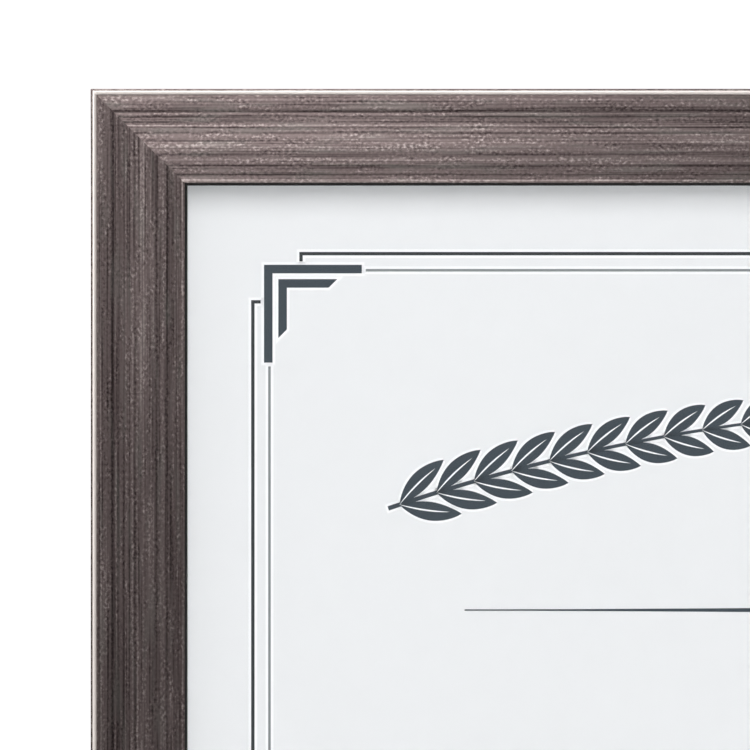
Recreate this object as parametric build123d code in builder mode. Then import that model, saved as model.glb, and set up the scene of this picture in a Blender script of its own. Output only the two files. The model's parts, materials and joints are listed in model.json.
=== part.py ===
from build123d import *
import os
from math import cos, radians, sin, sqrt, tan

# A certificate frame for one landscape sheet, standing on a table on its easel leg. Four mitred
# sticks of reeded moulding hold a glazed pack, turn buttons on the back keep the pack in, and
# sawtooth hangers let the frame hang on a wall either way round.
# X runs to the viewer's right, Y to the back and Z up. The table is Z = 0 and the origin is the
# middle of the footprint. All sizes are in millimetres and degrees.

# The sheet and the pack that lies in the rabbet
sheet_width = 279.4
sheet_height = 215.9
sheet_thickness = 0.25
glass_thickness = 2.0
glass_arris = 0.2
filler_thickness = 1.75
backing_thickness = 3.0
pack_clearance = 0.8

# Moulding section: widths run inward from the outer edge, rises forward from the rabbet seat
rail_width = 16.0
rabbet_width = 5.0
bead_radius = 0.52
bead_rise = 2.73
ridge_width = 2.84
ridge_bulge = 0.6
groove_rise = 2.9
shoulder_bulge = 0.3
reed_pitch = 1.02
reed_bulge = 0.16
crest_band = 2.1
crest_rise = 5.4
crest_radius = 0.5
slope_width = 4.55
slope_bulge = 0.08
lip_width = 1.85
cove_drop = 0.4
cove_sag = 0.2
lip_bead_width = 0.7
lip_bead_bulge = 0.18
sight_chamfer = 0.4
lip_thickness = 2.3

# V-nails driven from the back across each mitre
v_nails_per_corner = 2
v_nail_leg = 3.0
v_nail_half_angle = 50
v_nail_thickness = 0.5
v_nail_height = 6.0

# Turn buttons, each free to spin on its screw
button_corner_distance = 50.0
button_pivot_radius = 4.5
button_tip_radius = 3.0
button_reach = 12.0
button_thickness = 0.8
button_arris = 0.2
button_gap = 0.1
button_bore_clearance = 0.05
screw_radius = 1.45
screw_length = 7.0
screw_head_radius = 3.0
screw_head_height = 1.6
screw_head_round = 0.8
recess_length = 3.2
recess_width = 0.8
recess_depth = 0.9

# Sawtooth hangers, nailed to the back of the top rail and of one stile
hanger_length = 44.0
hanger_width = 8.0
hanger_thickness = 0.7
hanger_lift = 1.4
hanger_tab = 9.0
hanger_ramp = 3.0
tooth_pitch = 2.0
tooth_depth = 0.9
nail_radius = 0.7
nail_length = 6.0
nail_head_radius = 1.5
nail_head_height = 0.5

# Easel leg on its stop hinge: angles from upright and between leg and backing
lean_angle = 14.0
open_angle = 26.0
hinge_height = 160.0
leg_thickness = 2.5
leg_gap = 0.4
leg_top_width = 42.0
leg_foot_width = 72.0
leg_corner_radius = 4.0
leaf_thickness = 0.8
leaf_corner_radius = 3.0
fixed_leaf_length = 18.0
moving_leaf_length = 26.0
hinge_width = 36.0
hinge_standoff = 0.1
knuckle_width = 15.0
knuckle_gap = 0.3
stop_gap = 0.03
pin_clearance = 0.05
pin_head_rim = 0.4
pin_head_length = 0.6
rivet_spacing = 22.0
rivet_edge = 6.0
rivet_radius = 1.5
rivet_head_radius = 2.6
rivet_head_height = 0.9
rivet_head_round = 0.6
rivet_tail_radius = 2.2
rivet_tail_thickness = 0.5

# Room round every driven or set fastener
fastener_clearance = 0.03

# Solids that stand on their place, or hang below it
ABOVE = (Align.CENTER, Align.CENTER, Align.MIN)
BELOW = (Align.CENTER, Align.CENTER, Align.MAX)

# Sizes that follow from the ones above
rabbet_depth = glass_thickness + sheet_thickness + filler_thickness + backing_thickness
land_width = rail_width - rabbet_width
land_middle = land_width / 2
outer_width = sheet_width + 2 * (pack_clearance + land_width)
outer_height = sheet_height + 2 * (pack_clearance + land_width)
crest_inset = rail_width - lip_width - slope_width
crest_height = rabbet_depth + crest_rise
knuckle_radius = (leg_gap + leg_thickness + leaf_thickness - hinge_standoff) / 2
pin_bore = knuckle_radius - leaf_thickness
pin_radius = pin_bore - pin_clearance
axis_depth = knuckle_radius + hinge_standoff
leg_far_face = pin_bore
leg_near_face = leg_thickness - leg_far_face
leg_lean = open_angle - lean_angle
heel_length = (
    axis_depth - leaf_thickness + pin_bore * cos(radians(open_angle)) - stop_gap
) / sin(radians(open_angle))
button_stack = button_thickness + 2 * button_gap

# The footprint runs from the crest of the bottom rail to the back of the leg's foot
axis_back = hinge_height * sin(radians(lean_angle)) + axis_depth * cos(radians(lean_angle))
axis_up = hinge_height * cos(radians(lean_angle)) - axis_depth * sin(radians(lean_angle))
foot_reach = axis_back + axis_up * tan(radians(leg_lean)) + leg_far_face / cos(radians(leg_lean))
front_reach = crest_height * cos(radians(lean_angle)) - crest_inset * sin(radians(lean_angle))
resting_edge = (front_reach - foot_reach) / 2


def leaning_plane(origin, lean):
    # X to the viewer's right, local Y up the leaning face, local Z out of its front
    return Plane(origin, x_dir=(1, 0, 0), z_dir=(0, -cos(radians(lean)), sin(radians(lean))))


def side_plane(turn, reach):
    # Middle of one outer edge on the back: X along the rail, Y inward, Z to the front
    along = centre_plane.x_dir * cos(radians(turn)) + centre_plane.y_dir * sin(radians(turn))
    inward = centre_plane.z_dir.cross(along)
    return Plane(centre_plane.origin - inward * reach, x_dir=along, z_dir=centre_plane.z_dir)


def section_plane(plane):
    # Square to a plane's X: its Y becomes the drawing's X, and its Z the drawing's Y
    return Plane(plane.origin, x_dir=plane.y_dir, z_dir=plane.x_dir)


def back_spot(plane, along, inset):
    # A place on a rail's back: X inward, Z out of the back
    return Plane(plane.from_local_coords((along, inset, 0)), x_dir=plane.y_dir, z_dir=-plane.z_dir)


def rear_spot(plane, across, up, depth):
    # A place behind a leaning plane: X across, Z to the rear
    return Plane(plane.from_local_coords((across, up, -depth)), x_dir=plane.x_dir, z_dir=-plane.z_dir)


frame_plane = leaning_plane((0, resting_edge, 0), lean_angle)
centre_plane = leaning_plane(frame_plane.from_local_coords((0, outer_height / 2, 0)), lean_angle)
hinge_plane = leaning_plane(frame_plane.from_local_coords((0, hinge_height, -axis_depth)), lean_angle)
leg_plane = leaning_plane(hinge_plane.origin, -leg_lean)
rearward = Axis(frame_plane.origin, -frame_plane.z_dir)

# Each side's length and plane
sides = {
    "bottom_rail": (outer_width, side_plane(0, outer_height / 2)),
    "right_stile": (outer_height, side_plane(90, outer_width / 2)),
    "top_rail": (outer_width, side_plane(180, outer_height / 2)),
    "left_stile": (outer_height, side_plane(270, outer_width / 2)),
}

# The places of what is fastened to the back: two buttons a side, as the viewer in front names them
button_names = {
    "bottom_rail": ("bottom_left", "bottom_right"),
    "right_stile": ("right_lower", "right_upper"),
    "top_rail": ("top_right", "top_left"),
    "left_stile": ("left_upper", "left_lower"),
}
button_spots = {}
for side, (length, plane) in sides.items():
    station = length / 2 - button_corner_distance
    for name, end in zip(button_names[side], (-1, 1)):
        button_spots["turn_button_" + name] = back_spot(plane, end * station, land_middle)
hanger_spots = {
    "sawtooth_hanger_top": back_spot(sides["top_rail"][1], 0, land_middle),
    "sawtooth_hanger_side": back_spot(sides["left_stile"][1], 0, land_middle),
}
nail_station = (hanger_length - hanger_tab) / 2
nail_spots = [
    Plane(spot.from_local_coords((0, end * nail_station, 0)), x_dir=spot.x_dir, z_dir=spot.z_dir)
    for spot in hanger_spots.values()
    for end in (-1, 1)
]
v_nail_planes = []
for across in (-1, 1):
    for up in (-1, 1):
        corner = Plane(
            centre_plane.from_local_coords((across * outer_width / 2, up * outer_height / 2, 0)),
            x_dir=-(centre_plane.x_dir * across + centre_plane.y_dir * up),
            z_dir=centre_plane.z_dir,
        )
        for number in range(v_nails_per_corner):
            apex = land_width * sqrt(2) * (number + 1.5) / (v_nails_per_corner + 1)
            v_nail_planes.append(
                Plane(corner.from_local_coords((apex, 0, 0)), x_dir=corner.x_dir, z_dir=corner.z_dir)
            )
board_rivet_up = fixed_leaf_length - rivet_edge
leg_rivet_up = rivet_edge - moving_leaf_length
board_rivet_spots = [
    rear_spot(hinge_plane, side * rivet_spacing / 2, board_rivet_up, leaf_thickness - axis_depth)
    for side in (-1, 1)
]
leg_rivet_spots = [
    rear_spot(leg_plane, side * rivet_spacing / 2, leg_rivet_up, knuckle_radius) for side in (-1, 1)
]


def save(piece, label):
    piece.part.label = label
    export_step(piece.part, f"parts/{label}.step")


def moulding_section():
    # Silver bead, outer ridge, reeded shoulder, crest, inner slope, cove, lip bead and rabbet
    bead_height = rabbet_depth + bead_rise
    bead_end = (2 * bead_radius, bead_height)
    groove = (2 * bead_radius + ridge_width, rabbet_depth + groove_rise)
    crest = (crest_inset, crest_height)
    sight_height = rabbet_depth + lip_thickness
    lip_height = sight_height + sight_chamfer
    lip_end = (rail_width - sight_chamfer, lip_height)
    lip_start = (rail_width - sight_chamfer - lip_bead_width, lip_height)
    slope_end = (rail_width - lip_width, lip_height + cove_drop)
    shoulder = SagittaArc(groove, crest, shoulder_bulge, mode=Mode.PRIVATE)
    reed_count = int((shoulder.length - crest_band) / reed_pitch)
    reed_share = reed_pitch / shoulder.length
    with BuildSketch() as section:
        with BuildLine():
            Line((0, 0), (0, bead_height))
            RadiusArc((0, bead_height), bead_end, bead_radius)
            SagittaArc(bead_end, groove, ridge_bulge)
            for reed in range(reed_count):
                SagittaArc(shoulder @ (reed * reed_share), shoulder @ ((reed + 1) * reed_share), reed_bulge)
            band_start = reed_count * reed_share
            ThreePointArc(shoulder @ band_start, shoulder @ ((band_start + 1) / 2), crest)
            SagittaArc(crest, slope_end, slope_bulge)
            SagittaArc(slope_end, lip_start, -cove_sag)
            SagittaArc(lip_start, lip_end, lip_bead_bulge)
            Polyline(
                lip_end,
                (rail_width, sight_height),
                (rail_width, rabbet_depth),
                (land_width, rabbet_depth),
                (land_width, 0),
                (0, 0),
            )
        make_face()
        fillet(section.vertices().sort_by(Axis.Y)[-1], crest_radius)
    return section.sketch


def v_nail_outline(thickness):
    # A bent strip in plan: apex towards the rabbet, one leg into each rail
    back = v_nail_leg * cos(radians(v_nail_half_angle))
    spread = v_nail_leg * sin(radians(v_nail_half_angle))
    with BuildSketch() as outline:
        with BuildLine():
            Polyline((-back, spread), (0, 0), (-back, -spread))
        trace(line_width=thickness)
    return outline.sketch


rail_section = moulding_section()
v_nail_strip = v_nail_outline(v_nail_thickness)
v_nail_slot = v_nail_outline(v_nail_thickness + 2 * fastener_clearance)


def make_rail(length, plane):
    with BuildPart() as rail:
        with BuildSketch(section_plane(plane)):
            add(rail_section)
        extrude(amount=length / 2, both=True)
        for end in (-1, 1):
            corner = plane.from_local_coords((end * length / 2, 0, 0))
            split(bisect_by=Plane(corner, z_dir=-(plane.x_dir * end + plane.y_dir)), keep=Keep.TOP)
        with BuildSketch(*v_nail_planes):
            add(v_nail_slot)
        extrude(amount=v_nail_height + fastener_clearance, mode=Mode.SUBTRACT)
        with Locations(*button_spots.values()):
            Hole(screw_radius + fastener_clearance, screw_length + fastener_clearance)
        with Locations(*nail_spots):
            Hole(nail_radius + fastener_clearance, nail_length + fastener_clearance)
    return rail


def make_pack_layer(back, thickness):
    with BuildPart() as layer:
        with BuildSketch(centre_plane.offset(back)):
            Rectangle(sheet_width, sheet_height)
        extrude(amount=thickness)
    return layer


def make_turn_button(spot):
    with BuildPart() as button:
        with BuildSketch(spot.offset(button_gap)):
            Circle(button_pivot_radius)
            with Locations((button_reach, 0)):
                Circle(button_tip_radius)
            make_hull()
            Circle(screw_radius + button_bore_clearance, mode=Mode.SUBTRACT)
        extrude(amount=button_thickness)
        chamfer(button.faces().sort_by(rearward)[-1].outer_wire().edges(), button_arris)
    return button


def make_hanger(spot):
    # A strip with flat nailed tabs and a raised bridge, toothed on its inner edge
    foot = hanger_length / 2 - hanger_tab
    bridge = foot - hanger_ramp
    bridge_top = hanger_lift + hanger_thickness
    edge_plane = section_plane(
        Plane(
            spot.from_local_coords((-hanger_width / 2, 0, 0)), x_dir=spot.x_dir, z_dir=spot.z_dir
        )
    )
    with BuildPart() as hanger:
        with BuildSketch(edge_plane):
            with BuildLine():
                Polyline(
                    (0, hanger_lift),
                    (bridge, hanger_lift),
                    (foot, 0),
                    (hanger_length / 2, 0),
                    (hanger_length / 2, hanger_thickness),
                    (foot, hanger_thickness),
                    (bridge, bridge_top),
                    (0, bridge_top),
                    close=True,
                )
            make_face()
            mirror(about=Plane.YZ)
        extrude(amount=hanger_width)
        with BuildSketch(spot):
            with Locations((hanger_width / 2, 0)):
                with GridLocations(0, tooth_pitch, 1, int(2 * bridge / tooth_pitch)):
                    Rectangle(tooth_depth * sqrt(2), tooth_depth * sqrt(2), rotation=45)
        extrude(amount=bridge_top, mode=Mode.SUBTRACT)
        with Locations(*nail_spots):
            Hole(nail_radius + fastener_clearance)
    return hanger


def make_rivets(spots, grip):
    # Domed head to the rear, shank through both pieces, tail set flush in the front
    with BuildPart() as rivets:
        with Locations(*spots):
            Cylinder(rivet_head_radius, rivet_head_height, align=ABOVE)
            Cylinder(rivet_radius, grip, align=BELOW)
            with Locations((0, 0, -grip)):
                Cylinder(rivet_tail_radius, rivet_tail_thickness, align=ABOVE)
        head_side = Axis(spots[0].origin, spots[0].z_dir)
        fillet(rivets.edges().group_by(head_side)[-1], rivet_head_round)
    return rivets


os.makedirs("parts", exist_ok=True)

# Moulding
for side, (length, plane) in sides.items():
    save(make_rail(length, plane), side)

with BuildPart() as corner_v_nails:
    with BuildSketch(*v_nail_planes):
        add(v_nail_strip)
    extrude(amount=v_nail_height)
save(corner_v_nails, "corner_v_nails")

# Pack, from the back to the rabbet seat
with BuildPart() as backing_board:
    with BuildSketch(centre_plane):
        Rectangle(sheet_width, sheet_height)
    extrude(amount=backing_thickness)
    rivet_front = [
        Plane(spot.origin, x_dir=spot.x_dir, z_dir=-spot.z_dir).offset(leaf_thickness + backing_thickness)
        for spot in board_rivet_spots
    ]
    with Locations(*rivet_front):
        CounterBoreHole(
            rivet_radius + fastener_clearance,
            rivet_tail_radius + fastener_clearance,
            rivet_tail_thickness,
        )
save(backing_board, "backing_board")
save(make_pack_layer(backing_thickness, filler_thickness), "filler_board")
save(make_pack_layer(backing_thickness + filler_thickness, sheet_thickness), "certificate_sheet")
glass_pane = make_pack_layer(rabbet_depth - glass_thickness, glass_thickness)
with glass_pane:
    chamfer(glass_pane.edges(), glass_arris)
save(glass_pane, "glass_pane")

# Turn buttons
for name, spot in button_spots.items():
    save(make_turn_button(spot), name)

with BuildPart() as turn_button_screws:
    with Locations(*button_spots.values()):
        with Locations((0, 0, button_stack)):
            Cylinder(screw_radius, button_stack + screw_length, align=BELOW)
            Cylinder(screw_head_radius, screw_head_height, align=ABOVE)
    fillet(turn_button_screws.edges().group_by(rearward)[-1], screw_head_round)
    with Locations(*button_spots.values()):
        with Locations((0, 0, button_stack + screw_head_height)):
            for slot in ((recess_length, recess_width), (recess_width, recess_length)):
                Box(*slot, recess_depth, align=BELOW, mode=Mode.SUBTRACT)
save(turn_button_screws, "turn_button_screws")

# Hangers
for name, spot in hanger_spots.items():
    save(make_hanger(spot), name)

with BuildPart() as hanger_nails:
    with Locations(*nail_spots):
        with Locations((0, 0, hanger_thickness)):
            Cylinder(nail_radius, nail_length + hanger_thickness, align=BELOW)
            Cylinder(nail_head_radius, nail_head_height, align=ABOVE)
save(hanger_nails, "hanger_nails")

# Stop hinge: the fixed leaf carries the outer knuckles, the moving leaf the middle one and the heel
with BuildPart() as fixed_leaf:
    with BuildSketch(section_plane(hinge_plane)):
        Circle(knuckle_radius)
        with Locations((0, axis_depth - leaf_thickness)):
            Rectangle(fixed_leaf_length, leaf_thickness, align=(Align.MIN, Align.MIN))
        Circle(pin_bore, mode=Mode.SUBTRACT)
    extrude(amount=hinge_width / 2, both=True)
    with BuildSketch(hinge_plane):
        with Locations((0, knuckle_radius + knuckle_gap)):
            Rectangle(
                knuckle_width + 2 * knuckle_gap,
                2 * (knuckle_radius + knuckle_gap),
                align=(Align.CENTER, Align.MAX),
            )
    extrude(amount=axis_depth, both=True, mode=Mode.SUBTRACT)
    free_end = fixed_leaf.faces().sort_by(Axis(hinge_plane.origin, hinge_plane.y_dir))[-1]
    fillet(free_end.edges().filter_by(rearward), leaf_corner_radius)
    with Locations(*board_rivet_spots):
        Hole(rivet_radius + fastener_clearance)
save(fixed_leaf, "hinge_fixed_leaf")

with BuildPart() as moving_leaf:
    with BuildSketch(section_plane(leg_plane)):
        Circle(knuckle_radius)
        with Locations((heel_length, -knuckle_radius)):
            Rectangle(heel_length + moving_leaf_length, leaf_thickness, align=(Align.MAX, Align.MIN))
        Circle(pin_bore, mode=Mode.SUBTRACT)
    extrude(amount=hinge_width / 2, both=True)
    with BuildSketch(leg_plane):
        for side in (-1, 1):
            with Locations((side * (knuckle_width + hinge_width) / 4, -knuckle_radius - knuckle_gap)):
                Rectangle(
                    (hinge_width - knuckle_width) / 2,
                    heel_length + knuckle_radius + knuckle_gap,
                    align=(Align.CENTER, Align.MIN),
                )
    extrude(amount=knuckle_radius, both=True, mode=Mode.SUBTRACT)
    free_end = moving_leaf.faces().sort_by(Axis(leg_plane.origin, leg_plane.y_dir))[0]
    fillet(free_end.edges().filter_by(Axis(leg_plane.origin, leg_plane.z_dir)), leaf_corner_radius)
    with Locations(*leg_rivet_spots):
        Hole(rivet_radius + fastener_clearance)
save(moving_leaf, "hinge_moving_leaf")

with BuildPart() as hinge_pin:
    with BuildSketch(section_plane(hinge_plane)):
        Circle(pin_radius)
    extrude(amount=hinge_width / 2 + pin_head_length, both=True)
    for end in (-1, 1):
        with BuildSketch(section_plane(hinge_plane).offset(end * hinge_width / 2)):
            Circle(pin_radius + pin_head_rim)
        extrude(amount=end * pin_head_length)
save(hinge_pin, "hinge_pin")

# Easel leg, cut level with the table at its foot
with BuildPart() as easel_leg:
    with BuildSketch(leg_plane.offset(leg_near_face)):
        with BuildLine():
            leg_end = -axis_up / cos(radians(leg_lean)) - leg_thickness
            Polyline(
                (-leg_top_width / 2, -knuckle_radius - knuckle_gap),
                (leg_top_width / 2, -knuckle_radius - knuckle_gap),
                (leg_foot_width / 2, leg_end),
                (-leg_foot_width / 2, leg_end),
                close=True,
            )
        leg_outline = make_face()
        fillet(leg_outline.vertices().sort_by(Axis.Y)[-2:], leg_corner_radius)
    extrude(amount=-leg_thickness)
    split(bisect_by=Plane.XY, keep=Keep.TOP)
    leg_rivet_front = [
        Plane(spot.origin, x_dir=spot.x_dir, z_dir=-spot.z_dir).offset(leaf_thickness + leg_thickness)
        for spot in leg_rivet_spots
    ]
    with Locations(*leg_rivet_front):
        CounterBoreHole(
            rivet_radius + fastener_clearance,
            rivet_tail_radius + fastener_clearance,
            rivet_tail_thickness,
        )
save(easel_leg, "easel_leg")

board_rivets = make_rivets(board_rivet_spots, leaf_thickness + backing_thickness)
save(board_rivets, "hinge_board_rivets")
leg_rivets = make_rivets(leg_rivet_spots, leaf_thickness + leg_thickness)
save(leg_rivets, "hinge_leg_rivets")

print(f"outside {outer_width:.1f} x {outer_height:.1f}, depth {crest_height:.1f} mm")
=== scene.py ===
import json
import math
import bpy
import numpy as np
from mathutils import Matrix, Vector


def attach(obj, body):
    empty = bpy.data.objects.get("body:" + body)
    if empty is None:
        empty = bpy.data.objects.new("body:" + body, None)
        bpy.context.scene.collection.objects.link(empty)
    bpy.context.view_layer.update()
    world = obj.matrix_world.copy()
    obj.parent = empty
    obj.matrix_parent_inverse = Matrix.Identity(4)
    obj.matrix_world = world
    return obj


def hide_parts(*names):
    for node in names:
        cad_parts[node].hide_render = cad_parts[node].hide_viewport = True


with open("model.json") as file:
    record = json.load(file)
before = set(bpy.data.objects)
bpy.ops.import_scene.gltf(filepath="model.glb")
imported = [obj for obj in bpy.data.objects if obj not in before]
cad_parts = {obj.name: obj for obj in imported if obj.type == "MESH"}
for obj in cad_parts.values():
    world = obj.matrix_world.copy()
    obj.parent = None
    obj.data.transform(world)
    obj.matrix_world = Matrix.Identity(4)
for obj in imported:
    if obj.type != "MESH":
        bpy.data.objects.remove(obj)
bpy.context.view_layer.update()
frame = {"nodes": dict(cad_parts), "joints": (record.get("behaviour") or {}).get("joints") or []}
nodes = frame["nodes"]
joints = {joint["name"]: joint for joint in frame["joints"]}
mm = 0.001  # one millimetre in scene units
print("frame loaded:", len(nodes), "nodes")

# The leaning face has its own millimetres: x across, y up the face, z out of its front.
# A turn button's screw runs square to the face, and the bottom rail's back edge is where y and z start.
faceOut = -Vector(joints["turn_button_bottom_left_spin"]["axis"]).normalized()
faceAcross = Vector((1, 0, 0))
faceUp = faceOut.cross(faceAcross)
faceAxes = np.array((faceAcross, faceUp, faceOut))

# The easel leg folds flat on the back, so when open it faces as the frame does, turned by the whole fold
fold = joints["easel_fold"]
legOut = Matrix.Rotation(math.radians(-fold["range_deg"][0]), 3, Vector(fold["axis"])) @ faceOut


def nodePoints(name):
    # a CAD node's vertices at rest, in metres
    vertices = nodes[name].data.vertices
    flat = np.empty(len(vertices) * 3)
    vertices.foreach_get("co", flat)
    return flat.reshape(-1, 3)


# lowest reach of the bottom rail along each face axis, with x kept at the middle
faceOrigin = (nodePoints("bottom_rail") @ faceAxes.T).min(axis=0) * (0, 1, 1) @ faceAxes


def faceSpan(name):
    # lowest and highest corner of a node in face millimetres
    points = (nodePoints(name) - faceOrigin) @ faceAxes.T / mm
    return points.min(axis=0), points.max(axis=0)


def toScene(facePoints):
    # face millimetres to scene metres
    return faceOrigin + np.asarray(facePoints) * mm @ faceAxes


outerLow = faceSpan("bottom_rail")[0]
railLow, outerHigh = faceSpan("top_rail")
outerWidth, outerHeight = (outerHigh - outerLow)[:2]
railWidth = outerHigh[1] - railLow[1]
rabbetSeat = faceSpan("glass_pane")[1][2]  # the glass lies against the seat of the rabbet
sheetLow, sheetHigh = faceSpan("certificate_sheet")
sheetWidth, sheetHeight = (sheetHigh - sheetLow)[:2]
print("outside %.1f x %.1f mm, sheet %.1f x %.1f mm" % (outerWidth, outerHeight, sheetWidth, sheetHeight))


def linear(hexColour):
    # sRGB hex to linear, with alpha 1
    values = np.array([int(hexColour[i:i + 2], 16) for i in (1, 3, 5)]) / 255
    return (*np.where(values <= 0.04045, values / 12.92, ((values + 0.055) / 1.055) ** 2.4).tolist(), 1.0)


def addNode(tree, kind, settings=None, links=None):
    # settings fill inputs or properties, links join an input to an output of another node
    node = tree.nodes.new(kind)
    for key, value in (settings or {}).items():
        if isinstance(key, int) or key in node.inputs:
            node.inputs[key].default_value = value
        else:
            setattr(node, key, value)
    for key, socket in (links or {}).items():
        tree.links.new(socket, node.inputs[key])
    return node


def newMaterial(name):
    # an empty material with its output, ready for a shader
    material = bpy.data.materials.new(name)
    material.use_nodes = True
    tree = material.node_tree
    tree.nodes.clear()
    return material, tree, tree.nodes.new("ShaderNodeOutputMaterial")


# Wood-grain foil: printed and embossed film with a metal sheen, wrapped on the stick. The eye gets fine
# dark and pale lines along it, a sandy speckle in patches, and a sheen that is thrown across the stick.
woodFoil = {
    "dark": "#2b2323", "middle": "#635857", "pale": "#ada29f", "middleTone": 0.5,
    # noises: size in mm along and across the stick, octaves, and a shift that keeps some apart
    "noises": {
        "darkLine": {"size": (150.0, 0.40, 1.0), "detail": 0.5, "shift": 0.0},
        "paleLine": {"size": (110.0, 0.32, 1.0), "detail": 0.5, "shift": 7.3},
        "streak": {"size": (12.0, 0.30, 1.0), "detail": 1.0, "shift": 14.6},
        "speckle": {"size": (0.59, 0.47, 1.0), "detail": 2.0, "shift": 0.0},
        "patch": {"size": (5.0, 1.3, 1.0), "detail": 1.0, "shift": 3.1},
        "cool": {"size": (14.0, 1.6, 1.0), "detail": 2.0, "shift": 0.0},
    },
    # levels are where a noise starts to tell and where it is full
    "lines": {
        "darkLine": {"levels": (0.48, 0.64), "change": -0.11},
        "paleLine": {"levels": (0.52, 0.68), "change": 0.09},
        "streak": {"levels": (0.50, 0.66), "change": 0.05},
    },
    "speckleMiddle": 0.5,
    "patch": {"levels": (0.35, 0.65), "swing": (0.32, 1.44)},  # how far the speckle swings, calm and lively
    "cool": {"levels": (0.5, 0.7), "share": 0.25, "colour": "#6c6c67"},
    # the stick's tone attribute carries furrow ink, and painted shade and a painted highlight from the grain
    # lines
    "shadeChange": -0.42,  # change of tone where the stick's own shade is full
    "emboss": 0.02,  # mm
    "metallic": 0.9, "roughness": (0.58, 0.52), "anisotropy": 0.95, "quarterTurn": 0.25,
}


def makeWoodFoil():
    material, tree, output = newMaterial("printed_woodgrain_foil")
    uv = addNode(tree, "ShaderNodeUVMap", {"uv_map": "grain"}).outputs["UV"]
    noises = {}
    for name, noise in woodFoil["noises"].items():
        scaled = addNode(tree, "ShaderNodeMapping",
                         {"Location": (noise["shift"],) * 3, "Scale": [1 / side for side in noise["size"]]},
                         {"Vector": uv})
        noises[name] = addNode(tree, "ShaderNodeTexNoise", {"Scale": 1.0, "Detail": noise["detail"]},
                               {"Vector": scaled.outputs[0]}).outputs[0]
    # the tone starts from the stick's attribute of printed grain with painted shade and painted highlight,
    # and each kind of line changes it
    grainAndPaintedLight = addNode(tree, "ShaderNodeAttribute", {"attribute_name": "grainAndPaintedLight"}).outputs["Fac"]
    middle = woodFoil["middleTone"]
    tone = addNode(tree, "ShaderNodeMath",
                   {"operation": "MULTIPLY_ADD", 1: woodFoil["shadeChange"], 2: middle},
                   {0: grainAndPaintedLight}).outputs[0]
    for name, line in woodFoil["lines"].items():
        start, full = line["levels"]
        mark = addNode(tree, "ShaderNodeMapRange",
                       {"interpolation_type": "SMOOTHSTEP", "From Min": start, "From Max": full,
                        "To Max": line["change"]}, {"Value": noises[name]})
        tone = addNode(tree, "ShaderNodeMath", {"operation": "ADD"}, {0: tone, 1: mark.outputs[0]}).outputs[0]
    # the speckle swings both ways, more in some patches than in others
    start, full = woodFoil["patch"]["levels"]
    calm, lively = woodFoil["patch"]["swing"]
    swing = addNode(tree, "ShaderNodeMapRange",
                    {"From Min": start, "From Max": full, "To Min": calm, "To Max": lively},
                    {"Value": noises["patch"]})
    off = addNode(tree, "ShaderNodeMath", {"operation": "SUBTRACT", 1: woodFoil["speckleMiddle"]},
                  {0: noises["speckle"]})
    tone = addNode(tree, "ShaderNodeMath", {"operation": "MULTIPLY_ADD"},
                   {0: off.outputs[0], 1: swing.outputs[0], 2: tone}).outputs[0]
    # the ramp starts with a stop at each end, and gets one between
    ramp = addNode(tree, "ShaderNodeValToRGB", links={"Fac": tone})
    stops = ramp.color_ramp.elements
    stops.new(middle)
    for stop, colour in zip(stops, ("dark", "middle", "pale")):
        stop.color = linear(woodFoil[colour])
    # some patches are cooler
    cool = woodFoil["cool"]
    start, full = cool["levels"]
    coolShare = addNode(tree, "ShaderNodeMapRange",
                        {"From Min": start, "From Max": full, "To Max": cool["share"]},
                        {"Value": noises["cool"]})
    tinted = addNode(tree, "ShaderNodeMix", {"data_type": "RGBA", 7: linear(cool["colour"])},
                     {0: coolShare.outputs[0], 6: ramp.outputs[0]})
    rough, smooth = woodFoil["roughness"]
    roughness = addNode(tree, "ShaderNodeMapRange", {"To Min": rough, "To Max": smooth}, {"Value": tone})
    bump = addNode(tree, "ShaderNodeBump", {"Strength": 1.0, "Distance": woodFoil["emboss"] * mm},
                   {"Height": tone})
    tangent = addNode(tree, "ShaderNodeTangent", {"direction_type": "UV_MAP", "uv_map": "grain"})
    shader = addNode(tree, "ShaderNodeBsdfPrincipled",
                     {"Metallic": woodFoil["metallic"], "Anisotropic": woodFoil["anisotropy"],
                      "Anisotropic Rotation": woodFoil["quarterTurn"]},
                     {"Base Color": tinted.outputs[2], "Roughness": roughness.outputs[0],
                      "Normal": bump.outputs[0], "Tangent": tangent.outputs[0]})
    tree.links.new(shader.outputs[0], output.inputs[0])
    return material


# Silver bead: pale metal foil hot-stamped on the stick's outer edge, with faint drawn lines
silverBead = {"base": "#d6cfcb", "worn": "#c1b9b4", "metallic": 0.35, "roughness": (0.34, 0.46),
              "line": (14.0, 0.2, 1.0), "detail": 2.0}


def makeSilverFoil():
    material, tree, output = newMaterial("hot_stamped_silver_foil")
    uv = addNode(tree, "ShaderNodeUVMap", {"uv_map": "grain"}).outputs["UV"]
    scaled = addNode(tree, "ShaderNodeMapping", {"Scale": [1 / side for side in silverBead["line"]]},
                     {"Vector": uv})
    drawn = addNode(tree, "ShaderNodeTexNoise", {"Scale": 1.0, "Detail": silverBead["detail"]},
                    {"Vector": scaled.outputs[0]}).outputs[0]
    colour = addNode(tree, "ShaderNodeMix", {"data_type": "RGBA", 6: linear(silverBead["base"]),
                                             7: linear(silverBead["worn"])}, {0: drawn})
    low, high = silverBead["roughness"]
    roughness = addNode(tree, "ShaderNodeMapRange", {"To Min": low, "To Max": high}, {"Value": drawn})
    shader = addNode(tree, "ShaderNodeBsdfPrincipled", {"Metallic": silverBead["metallic"]},
                     {"Base Color": colour.outputs[2], "Roughness": roughness.outputs[0]})
    tree.links.new(shader.outputs[0], output.inputs[0])
    return material


# Black polystyrene: extruded, so its sides and back carry faint die lines, half matt. Real die lines are
# about 0.3 mm wide, and are drawn coarser so that they show.
blackPlastic = {"base": "#0f0e0d", "rubbed": "#1d1b1a", "roughness": (0.36, 0.52), "specular": 0.15,
                "line": (60.0, 1.1, 1.0), "detail": 3.0, "depth": 0.03, "strength": 0.8}


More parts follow.
